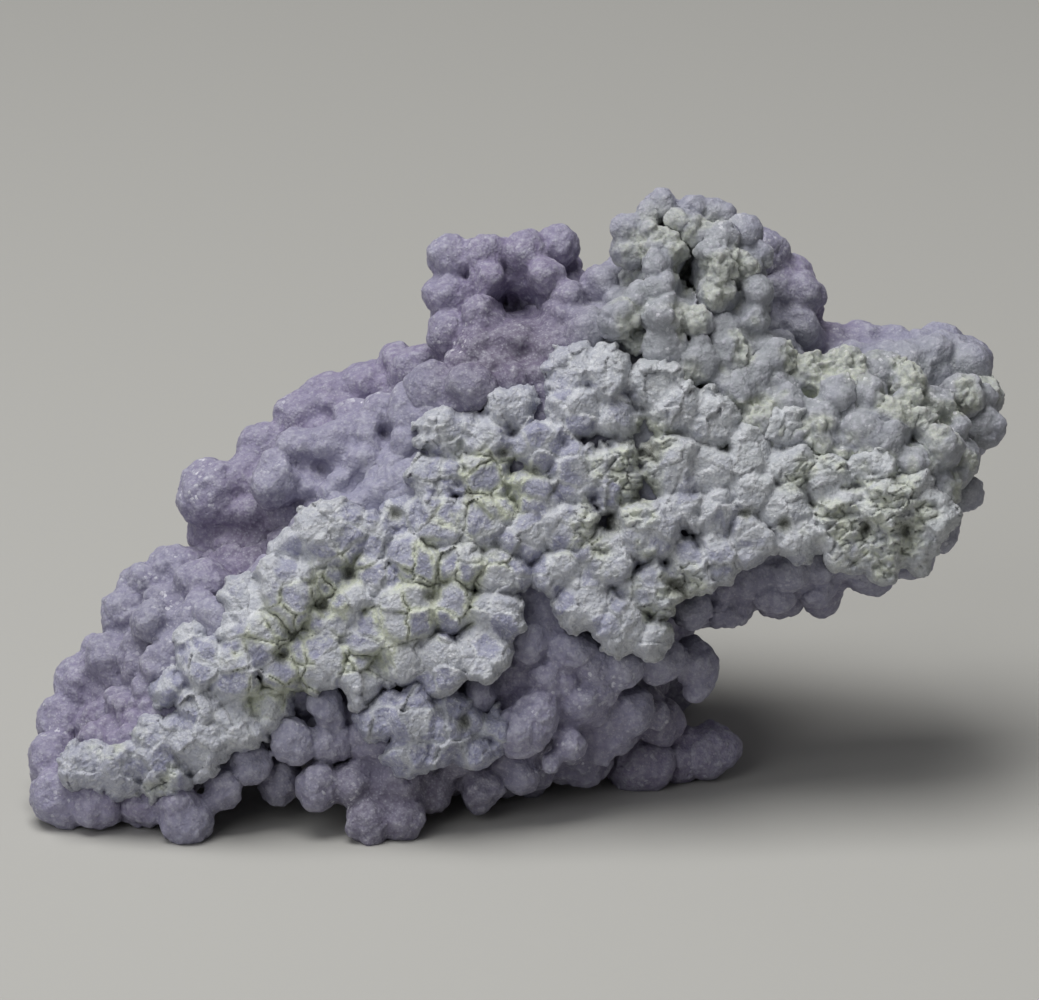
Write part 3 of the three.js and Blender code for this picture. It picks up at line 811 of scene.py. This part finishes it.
def makeCrustPiece(name, spec):
    places, within, shape, grids = brokenFace(spec)
    points, faces, source = crustShell(spec, places, within, shape)
    shown = {key: values[source] for key, values in grids.items()}
    hollow = hollowness(points, faces, edgesOf(faces), 12)
    green = zoneMask("green", points)
    mottled = roughNoise(points, 0.9, 301, 4)
    core = smoothStep(0.15, 0.75, shown["tileBorder"] + 0.35 * mottled)
    core *= smoothStep(*spec["coreShare"], (shown["tile"] * 7) % 1)
    core *= shown["cores"] * (1 - shown["flaky"]) * (1 - 0.5 * green)
    violet = zoneMask("violet", points)
    nearSeam = np.exp(-(shown["seam"] / 0.5) ** 2)
    dusty = np.maximum(nearSeam * shown["cracked"], shown["flaky"] * smoothStep(-0.9, 0.5, mottled) * 0.7)
    masks = {
        "violet": np.maximum(core, violet * 0.6),
        "green": np.clip(green * 0.6 + 0.4 * shown["flaky"], 0, 1),
        # Paler on bulges: painted highlight. Paler along the seams and in mottled patches: the crust's own
        # frosting.
        "frostAndHighlight": (smoothStep(0.02, -0.08, hollow) * 0.5 + nearSeam * spec["rimFrost"]
                  + smoothStep(0.0, 0.8, mottled) * 0.5) * (1 - core) * (1 - 0.6 * violet),
        "dust": np.maximum(dusty, shown["pit"] * 0.6),
        # Darker in hollows, cracks, pits and the gaps between crumbs: painted shade.
        "deep": np.clip(smoothStep(0.15, 0.5, hollow) * 0.3 + shown["crack"] * 0.6 + shown["pit"] * 0.7
                        + shown["gap"] * smoothStep(0.1, 0.5, shown["ledges"]) * 0.4, 0, 1),
    }
    piece = finishPiece(name, points, faces, masks, crustStone)
    fillBack(piece)


makeCrustPiece("crust", crust)
makeCrustPiece("brokenLip", lip)


# How far inside the crust's rim places are, in millimetres; under 0 is outside.
def insideCrust(points):
    reach = np.full(len(points), -99.0)
    for across, up, _, radius in crust["lumps"]:
        away = np.hypot(points[:, 0] - across, points[:, 1] - up)
        reach = np.maximum(reach, crust["reach"] * radius - away)
    return reach


surfaceLook = {
    "lumpSize": 2.0,  # soft lumps on the beads, mm
    "knobSize": 1.35,  # small knobs that grow on the beads
    "sugarSize": 0.55,  # sugary grain
}


# Beads' own relief, along the normal: soft lumps, small round knobs, sugary grain and crumbled places.
def beadRelief(points, crumbly, spec):
    sugar, _ = grainNoise(points, surfaceLook["sugarSize"], 11)
    relief = spec["lump"] * roughNoise(points, surfaceLook["lumpSize"], 21, 3)
    relief += spec["sugar"] * (0.6 - sugar)
    knob, _ = grainNoise(points + 0.3 * softNoise(points, 1.5, 9)[:, None], surfaceLook["knobSize"], 51)
    patches = smoothStep(-0.5, 0.5, softNoise(points, 4.5, 61))
    relief += spec["knob"] * patches * (np.sqrt(np.clip(1 - (knob / 0.85) ** 2, 0, 1)) - 0.45)
    crumb, crumbNext = grainNoise(points + 0.4 * softNoise(points, 0.8, 3)[:, None], 0.95, 31)
    crumbs = 0.8 * np.minimum(crumbNext - crumb, 0.45) - 0.25
    relief += crumbly * (crumbs + 0.35 * roughNoise(points, 0.9, 41, 3))
    return relief


# A cluster: its masses, listed beads, bunches and cover beads, fused in one skin and given its relief.
def growCluster(name, spec):
    surfaces = [massSurface(mass) for mass in spec["masses"]]
    balls = [np.array(spec.get("beads", []), float).reshape(-1, 4)]
    for n, (mass, bead, front) in enumerate(spec.get("cover", [])):
        centres, radii = beadsOnMass(mass, bead, spec["seed"] + n, front)
        balls.append(np.column_stack([centres, radii]))
    for n, (mass, count, radius, turn) in enumerate(spec.get("bunches", [])):
        middles = bunchMiddles(mass, count, radius, turn)
        for m, middle in enumerate(middles):
            centres, radii = beadsOnBunch(middle, radius, spec["seed"] + 100 * (n + 1) + m)
            balls.append(np.column_stack([centres, radii]))
        if len(middles):
            cores = np.full(len(middles), radius - growth["beadRadius"])
            surfaces.append(ballSurfaces(middles, cores, 0, 1))
    balls = np.vstack(balls)
    centres = liftToGround(balls[:, :3], balls[:, 3])
    surfaces.append(ballSurfaces(centres, balls[:, 3], spec.get("uneven", 0.1), spec["seed"]))
    starts = np.cumsum([0] + [len(points) for points, _ in surfaces[:-1]])
    points = np.vstack([points for points, _ in surfaces])
    faces = np.vstack([corners + start for (_, corners), start in zip(surfaces, starts)])
    points, faces = fuse(name, points, faces, spec["cell"] * coarser, spec["easing"])
    for across, up, radius, depth, limit in spec.get("hollows", []):
        away = (points[:, 0] - across) ** 2 + (points[:, 1] - up) ** 2
        points[:, 2] += depth * np.exp(-away / radius**2) * (points[:, 2] < limit)
    hidden = np.zeros(len(points), bool)
    for other in masses:
        if other not in spec["masses"]:
            hidden |= insideMass(points, other) < growth["hiddenInMass"]
    hidden &= points[:, 2] > plate["massFront"] + 0.5
    behindCrust = (points[:, 2] > 1.8) & (points[:, 2] < 6)
    hidden |= (insideCrust(points) > growth["hiddenInCrust"]) & behindCrust
    points, faces = thinHidden(name, points, faces, hidden)
    edges = edgesOf(faces)
    hollow = hollowness(points, faces, edges, int(7 / spec["cell"] ** 0.5))
    green = zoneMask("green", points)
    crumbly = smoothStep(-0.2, 0.5, roughNoise(points, 2.6, 71, 3)) * smoothStep(0.3, 0.8, green)
    crumbly *= spec.get("crumbly", 0)
    points = points + normalsOf(points, faces) * beadRelief(points, crumbly, spec)[:, None]
    fineHollow = hollowness(points, faces, edges, 3)
    masks = {
        "violet": zoneMask("violet", points) * (1 - green),
        "green": green,
        # Paler where the skin bulges, on the beads' tops and knobs: painted highlight.
        "frostAndHighlight": smoothStep(0.0, -0.35, hollow) * 0.25 + smoothStep(0.0, -0.05, fineHollow) * 0.2,
        # Darker in hollows and in the deep zones under and between the clusters: painted shade.
        "deep": np.clip(smoothStep(0.1, 0.7, hollow) * 0.75 + zoneMask("deep", points) * 0.6, 0, 1),
        "dust": np.clip(smoothStep(0.02, 0.3, hollow) * green * 0.35 + crumbly * 0.6, 0, 1),
    }
    # The plate's frame mirrors the stone's frame, so the faces are turned over to point outwards.
    return finishPiece(name, points, faces[:, ::-1], masks, beadStone)


# In the clusters below a bead is across, up, deep, radius. Cover beads are their mass, radius, and how deep
# they start. Bunches are their mass, how many, radius, turn. Hollows are across, up, radius, how far they
# push back, and how deep they reach.
violetHead = {
    "masses": ["violetHead", "crown"], "cell": 0.235, "seed": 1, "easing": 11, "uneven": 0.12,
    "lump": 0.34, "knob": 0.36, "sugar": 0.1,
    "beads": [
        (-6.4, 55.5, 11.5, 2), (-6.7, 52, 11, 2.2), (-3.2, 55.9, 11.5, 2.2), (-3, 53.4, 10, 1.9),
        (0.7, 55.6, 11.5, 2.4), (3.8, 56.7, 12.5, 2.2), (2.4, 53.6, 9.5, 2), (4.7, 51.8, 8.5, 1.7),
        (4, 49.4, 8.5, 2.4), (7.6, 53, 10.5, 2.2), (9.4, 54.4, 11, 1.8), (-3.5, 50, 7.6, 1.9),
        (-6.5, 48.4, 9.5, 2.3), (-4, 47, 7, 2.2), (-0.7, 47.2, 7, 2.5), (2.8, 46.4, 5.8, 2.4),
        (6.6, 48.6, 6.5, 2.4), (-4.4, 43.4, 3.6, 2.4), (-0.7, 44, 5, 2.6), (-8, 43, 5.5, 2.6),
        (-5.6, 45.6, 6.4, 1.7), (1.2, 49.4, 8.4, 1.6), (9.6, 50.6, 8.4, 2), (-2, 45.4, 4.8, 1.6),
        (1.8, 44.4, 4.4, 1.7), (-6.2, 41.8, 4.2, 1.7),
    ],
    "cover": [("violetHead", 1.8, 11.5), ("crown", 1.9, 4)],
    "bunches": [("crown", 6, 5, 130), ("violetHead", 3, 3.2, 30)],
    "hollows": [(-0.3, 51.2, 1.5, 4.5, 14), (0.9, 50.7, 1.0, 3.0, 13), (-1.6, 51.0, 0.9, 2.5, 13)],
}
growCluster("violetHead", violetHead)

tower = {
    "masses": ["tower", "neck"], "cell": 0.2, "seed": 2, "easing": 4, "uneven": 0.16, "crumbly": 0.8,
    "lump": 0.36, "knob": 0.5, "sugar": 0.12,
    "beads": [
        (13.2, 60.5, 8, 1.6), (11.9, 59.2, 7.5, 1.5), (16.2, 60.2, 8.5, 1.6), (18.2, 59.4, 9, 1.8),
        (10.1, 58.2, 6.8, 1.7), (10.4, 56.4, 7, 1.8), (12.9, 56.6, 5.8, 1.9), (14.3, 55.7, 4.8, 1.3),
        (12.8, 54.4, 4.4, 1.5), (13.3, 52.3, 3.4, 1.8), (11.1, 51.4, 3.6, 1.6), (14.8, 51.4, 3, 1.6),
        (9.6, 49.4, 3.6, 2.1), (13.4, 49.7, 2.2, 1.9), (16.2, 49.6, 3.4, 1.5), (13.5, 47.4, 2.6, 2.2),
        (16.4, 57.7, 7.4, 1.9), (18.7, 57, 6.6, 1.7), (18.2, 54.8, 5, 2.1), (18.4, 52, 5, 2),
        (20.9, 57.6, 8.6, 1.9), (21.2, 54.8, 7, 1.8), (22, 52.2, 6.2, 1.7), (21.8, 49.8, 6.2, 1.8),
        (18.6, 48.8, 6, 2.3), (19.6, 46, 4.6, 2.4), (16.7, 45.4, 2.6, 1.9), (16.7, 47.2, 2.8, 0.9),
        (10.8, 47.4, 4, 1.6), (22.6, 46.8, 6, 1.9), (15, 44.2, 2.4, 1.6), (19, 43.4, 3.2, 1.8),
        (14.9, 58.8, 6.6, 1.2), (19.8, 55.6, 5.4, 1.0), (17.2, 53.2, 4.6, 1.0), (20.2, 50.6, 5.6, 1.1),
        (22.4, 55.8, 7.6, 1.2), (12, 58, 5.6, 1.0),
    ],
    "cover": [("tower", 1.7, 7), ("neck", 1.8, 6)],
    "bunches": [("tower", 3, 3.2, 60)],
    "hollows": [
        (15.8, 54.2, 1.4, 5, 11), (15.5, 52.2, 1.1, 4.5, 10), (20.3, 50.9, 1.0, 1.6, 10),
        (10.9, 48.8, 0.6, 1.6, 7),
    ],
}
growCluster("tower", tower)

towerRear = {
    "masses": ["towerRear", "farRidge"], "cell": 0.28, "seed": 3, "easing": 9, "uneven": 0.12,
    "lump": 0.34, "knob": 0.3, "sugar": 0.1,
    "beads": [
        (22.8, 56, 16, 3), (25, 53.6, 17, 2.8), (25.4, 50.4, 16.5, 2.7), (26.4, 47.6, 17, 2.6),
        (29.4, 47.2, 18.5, 2.6), (32.4, 47.6, 19, 2.3), (35.4, 47.4, 19, 2.2), (39.6, 47.4, 19, 2.3),
        (42.2, 46.2, 19.5, 2.2), (37.4, 46.2, 15, 2.3),
    ],
    "cover": [("towerRear", 1.9, 10), ("farRidge", 1.8, 9)],
    "bunches": [("farRidge", 4, 3, 0)],
}
growCluster("towerRear", towerRear)

wing = {
    "masses": ["rightWing", "wingRear", "wingUnder"], "cell": 0.235, "seed": 4, "easing": 4, "uneven": 0.16,
    "crumbly": 1.0, "lump": 0.36, "knob": 0.5, "sugar": 0.12,
    "beads": [
        (24, 46, 5.5, 1.9), (22, 44.6, 4.5, 2), (30, 45.6, 7, 1.9), (27, 44.6, 6.5, 2.2),
        (29.4, 42.6, 4.6, 2), (32.4, 42.2, 4.6, 1.6), (36.4, 43.6, 7, 1.8), (33.8, 44.6, 8.5, 2.2),
        (35.2, 40.6, 4, 1.8), (38.8, 41.6, 7.5, 1.9), (39.2, 37.8, 4, 2), (36.7, 36.4, 2.8, 1.6),
        (39, 34, 5, 2.2), (26, 38.8, 3, 1.6), (25, 41.6, 4, 2.2), (28.6, 38.4, 3.2, 1.8), (31.6, 39, 3, 2),
        (20.4, 43, 3.2, 2), (22.2, 40, 3.4, 2.3), (33.4, 37.4, 2.4, 1.7), (41, 36.6, 7.5, 1.9),
        (41.4, 42.6, 11, 2.4), (43.6, 42.4, 13, 2.1), (43.4, 39.8, 11.5, 2.1), (40.8, 45, 15, 2.2),
        (41.6, 33.6, 10, 2.1), (16, 22.8, 7, 2), (19.6, 23, 10, 2.3), (23.6, 24.8, 9, 2.1),
        (24.4, 23.6, 13, 2.1), (28, 25.2, 10.5, 2.2), (28.4, 24.2, 14.5, 2), (33, 26, 13, 2.3),
        (36.6, 27.6, 11, 2.4), (38.8, 30, 11, 2.3), (27.2, 41, 4, 1.5), (30.6, 40.8, 4, 1.4),
        (23.8, 43.8, 4.8, 1.4), (33.6, 40.2, 3.6, 1.3), (37, 38.6, 4, 1.5), (29.8, 36.8, 2.6, 1.4),
        (26.4, 36.6, 2.8, 1.3), (34.8, 38.2, 3, 1.2), (38.2, 36, 3.6, 1.3), (36.2, 42, 5.4, 1.3),
        (31.4, 44, 6.2, 1.5), (40.6, 39.4, 7, 1.6), (22.4, 42.4, 4.6, 1.9), (28.4, 44, 6.2, 1.3),
        (25.4, 43.4, 5.2, 1.3), (40.6, 35, 6.4, 1.5), (23.4, 38.2, 3.2, 1.3),
    ],
    "cover": [("rightWing", 1.7, 2.2), ("wingRear", 1.9, 6), ("wingUnder", 1.8, 6)],
    "bunches": [("wingRear", 8, 4.6, 10), ("rightWing", 6, 4.4, 50)],
    "hollows": [(36.6, 38.6, 1.0, 2.4, 9)],
}
growCluster("wing", wing)

leftShoulder = {
    "masses": ["leftShoulder", "upperShoulder"], "cell": 0.25, "seed": 5, "easing": 12, "uneven": 0.13,
    "lump": 0.34, "knob": 0.28, "sugar": 0.1,
    "beads": [
        (-29, 33.4, 14, 3.2), (-25.6, 34.6, 14, 3), (-28, 29.6, 16, 3.2), (-23.6, 37.4, 15.5, 2.8),
        (-22.7, 34.5, 8.5, 2.5), (-20.4, 37.7, 9.5, 2.2), (-19.2, 34.1, 9, 2.3), (-20.6, 40, 15.5, 2.9),
        (-16.9, 37.6, 8.5, 2.6), (-13.4, 38.3, 8.5, 2.9), (-14, 34, 8, 2.9), (-10.8, 35.6, 6, 2.6),
        (-17.8, 41.7, 16, 3.2), (-14.2, 43.4, 15.5, 2.8), (-11.6, 46.2, 14.5, 2), (-9.4, 44.8, 12.5, 2.7),
        (-10.4, 40.9, 6.5, 2.6), (-21.8, 31, 13, 2.6), (-16.4, 34.4, 6.2, 1.6), (-17.4, 32.8, 6.4, 1.7),
        (-14.8, 36.2, 6, 1.7), (-12.6, 41.2, 8.4, 1.8), (-14.6, 31.8, 4.6, 1.9), (-11.6, 32.8, 4, 1.7),
        (-10.6, 38.2, 5.2, 1.6), (-15.8, 40.4, 10.6, 1.8), (-18.6, 31, 5.2, 1.7), (-9.6, 33.6, 3.2, 1.6),
        (-8.4, 40.6, 4.6, 1.7), (-19.8, 35.8, 9, 1.4),
    ],
    "cover": [("leftShoulder", 1.9, 9), ("upperShoulder", 1.9, 9)],
    "bunches": [("upperShoulder", 5, 4.2, 75)],
    "hollows": [(-12.7, 39.1, 0.7, 1.3, 10), (-18.4, 36, 0.7, 1.2, 12)],
}
growCluster("leftShoulder", leftShoulder)

leftTip = {
    "masses": ["lowerLeft", "leftRear"], "cell": 0.255, "seed": 6, "easing": 9, "uneven": 0.13,
    "lump": 0.38, "knob": 0.4, "sugar": 0.12,
    "beads": [
        (-42.4, 4.8, 7, 3.2), (-43.6, 8.4, 10, 2.6), (-39.6, 4.6, 5.5, 2.6), (-43, 11.8, 13, 2.8),
        (-41.2, 15.2, 14, 2.8), (-38.4, 12, 10, 2.8), (-35.6, 13.3, 8, 2.5), (-38.1, 18, 11, 2.8),
        (-36.6, 21.8, 13, 2.7), (-34.8, 24.8, 14, 2.7), (-32.4, 26, 13.5, 2.7), (-32.5, 22.6, 10, 2.8),
        (-29.3, 25, 8.5, 2.4), (-34.3, 21.4, 6.5, 2.2), (-31, 20.8, 6, 2.4), (-33, 17.5, 4.5, 2.2),
        (-28, 21.6, 3.5, 2.3), (-35, 17.2, 8, 2.3), (-36.2, 10.4, 4.4, 1.8), (-39.4, 10.4, 6, 1.8),
        (-26.4, 19.4, 2.4, 1.6), (-29.8, 22.8, 5.4, 1.6), (-34.6, 15.2, 5.2, 1.6), (-35.6, 19.2, 8, 1.5),
        (-32.2, 19.2, 4.4, 1.5), (-30.4, 16.2, 2.6, 1.4),
    ],
    "cover": [("lowerLeft", 1.6, 4), ("leftRear", 1.8, 5)],
    "bunches": [("leftRear", 8, 4.8, 65), ("lowerLeft", 6, 4.2, 0)],
}
growCluster("leftTip", leftTip)

belly = {
    "masses": ["belly", "plate"], "cell": 0.27, "seed": 7, "easing": 10, "uneven": 0.12,
    "lump": 0.38, "knob": 0.4, "sugar": 0.12,
    "beads": [
        (3, 16.4, 5.5, 2.9), (5.8, 14, 6, 2.6), (1.6, 12.6, 3.2, 2.4), (4.8, 10, 4.6, 1.7),
        (2.9, 8.3, 4, 1.3), (0.4, 7.4, 6.4, 1.9), (-3.5, 6.2, 7, 2.1), (-0.6, 16.8, 5, 2.4),
        (10.4, 13.2, 8, 2.4), (8.2, 11.2, 9, 2.2), (12.6, 12.9, 10, 1.5), (16.5, 17.6, 10, 2.3),
        (16.7, 15.4, 10.5, 1.6), (13, 18, 7.5, 2.6), (15.4, 9, 17.4, 2.7), (18, 9.6, 17.4, 2.6),
        (10.6, 7, 16.5, 2.4), (13, 12, 14, 2.6), (6, 8.4, 13, 2.6), (-14, 2.4, 3.4, 2.2),
        (-11, 2.8, 4.2, 2.3), (-18.7, 6.2, 3.4, 2.3), (-15.4, 6.4, 4.4, 2.5), (-11.6, 6.6, 4.6, 2.8),
        (-8.6, 6, 6.4, 2.5), (-22.4, 7, 6.4, 2.2), (-17.6, 10.4, 3.6, 2.2), (-13.4, 10.6, 3.6, 2.4),
        (-30.9, 2.6, 3.6, 2.3), (-31.6, 5, 2.8, 2.1), (-27.6, 6, 3.6, 2.1), (-35, 4.6, 5.4, 2.3),
        (-25, 8.4, 3.4, 2.2), (-21, 10.6, 2.6, 2.2), (0, 11.4, 2.8, 2.4), (7, 17.6, 5, 2.2),
        (9.6, 17.2, 5, 2.1), (4.6, 19, 3.6, 2.0), (1, 19.6, 3.2, 1.9), (-1.2, 15, 4.2, 0.9),
        (-3.6, 14.8, 3.4, 1.8), (-9, 15, 3, 1.9), (-13.6, 14, 3, 1.8), (-17.8, 13.6, 2.6, 1.8),
        (7.6, 15, 5.6, 1.6),
    ],
    "cover": [("belly", 1.6, 4), ("plate", 1.8, 3.4)],
    "bunches": [("belly", 6, 4.8, 90)],
}
growCluster("belly", belly)

rearFoot = {
    "masses": ["rearFoot"], "cell": 0.4, "seed": 8, "easing": 3, "lump": 0.35, "knob": 0.4, "sugar": 0.15,
    "beads": [
        (-13, 16.5, 34, 4.2), (13, 16.5, 34, 4.2), (0, 17.5, 37, 4.2), (11.6, 7, 16, 3),
        (17.2, 9, 17.4, 2.8),
    ],
    "cover": [("rearFoot", 2.1, 6)],
    "bunches": [("rearFoot", 7, 5, 20)],
}
growCluster("rearFoot", rearFoot)

rear = {
    "masses": ["rear"], "cell": 0.38, "seed": 9, "easing": 3, "lump": 0.35, "knob": 0.4, "sugar": 0.15,
    "cover": [("rear", 2.1, 9)],
    "bunches": [("rear", 18, 6.2, 0)],
}
growCluster("rear", rear)

floor = {"size": 3.0, "colour": (0.43, 0.425, 0.405), "roughness": 0.8}
floorMaterial = bpy.data.materials.new("paleFloor")
floorMaterial.use_nodes = True
floorShader = floorMaterial.node_tree.nodes["Principled BSDF"]
floorShader.inputs["Base Color"].default_value = (*floor["colour"], 1)
floorShader.inputs["Roughness"].default_value = floor["roughness"]
half = floor["size"] / 2
floorCorners = np.array([[-half, -half, 0], [half, -half, 0], [half, half, 0], [-half, half, 0]])
floorMesh = meshFrom("floor", floorCorners, np.array([[0, 1, 2, 3]]))
floorMesh.materials.append(floorMaterial)
floorPiece = bpy.data.objects.new("floor", floorMesh)
bpy.context.scene.collection.objects.link(floorPiece)

# Soft studio light: place, width, watts, colour.
lamps = {
    "overhead": ((-0.14, -0.04, 0.70), 0.50, 5.1, (1.0, 0.995, 0.98)),
    "fill": ((-0.45, -0.60, 0.45), 0.60, 2.0, (0.97, 0.98, 1.0)),
}
for lampName, (place, width, power, colour) in lamps.items():
    lamp = bpy.data.lights.new(lampName, "AREA")
    lamp.size, lamp.energy, lamp.color = width, power, colour
    lampObject = bpy.data.objects.new(lampName, lamp)
    lampObject.location = place
    lampObject.rotation_euler = (Vector((0, 0, 0.02)) - Vector(place)).to_track_quat("-Z", "Y").to_euler()
    bpy.context.scene.collection.objects.link(lampObject)

studio = {"colour": (0.80, 0.80, 0.80), "strength": 0.13}
world = bpy.data.worlds.new("studio")
world.use_nodes = True
world.node_tree.nodes["Background"].inputs["Color"].default_value = (*studio["colour"], 1)
world.node_tree.nodes["Background"].inputs["Strength"].default_value = studio["strength"]
bpy.context.scene.world = world

# The camera looks down by the lean of the broken face, at the middle of the picture's frame.
view = {"distance": 0.9, "frameWidth": 0.0962, "aimUp": 32.87}
camera = bpy.data.objects.new("camera", bpy.data.cameras.new("camera"))
look = Vector((0, leanCos, -leanSin))
camera.location = Vector(toStone(np.array([[0, view["aimUp"], 0]]))[0]) - look * view["distance"]
camera.rotation_euler = look.to_track_quat("-Z", "Y").to_euler()
camera.data.lens = camera.data.sensor_width * view["distance"] / view["frameWidth"]
bpy.context.scene.collection.objects.link(camera)
bpy.context.scene.camera = camera
bpy.context.scene.view_settings.view_transform = "Standard"

print("stage is set")
